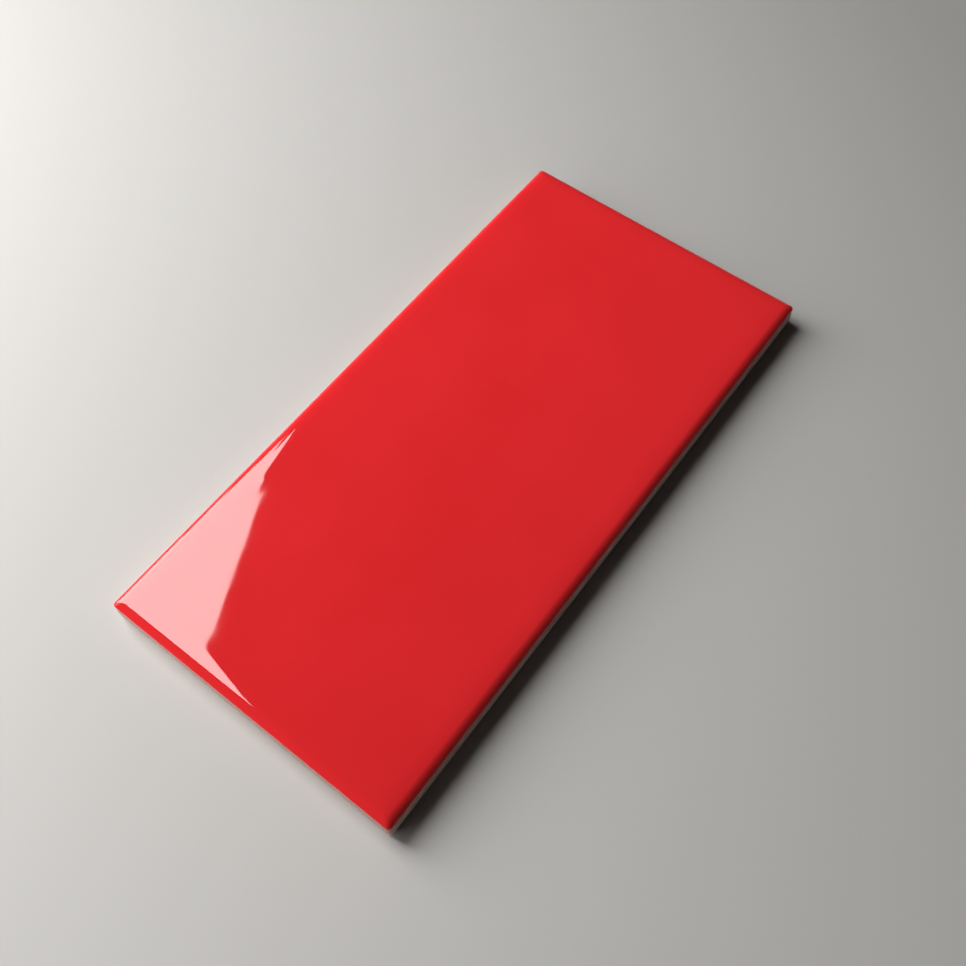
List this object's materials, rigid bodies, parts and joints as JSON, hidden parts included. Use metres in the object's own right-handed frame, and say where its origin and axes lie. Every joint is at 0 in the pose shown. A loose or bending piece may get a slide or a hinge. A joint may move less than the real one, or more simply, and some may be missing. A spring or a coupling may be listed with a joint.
{
  "type": "glazed ceramic wall tile",
  "caption": "Rectangular pressed ceramic wall tile with a glossy red glazed face, softly rounded edges, bare biscuit sides and a keyed back for adhesive.",
  "frame": {"origin": "centre of the back face, where the tile rests", "axes": "+X along the length, +Y across the width, +Z out of the glazed face"},
  "size_m": [0.148, 0.073, 0.0065],
  "materials": {
    "glaze": "smooth high-gloss red glaze on the face and rounded edges, over a pale matt biscuit body on the sides and back"
  },
  "bodies": {
    "root": {"tile": "glaze"}
  },
  "joints": []
}
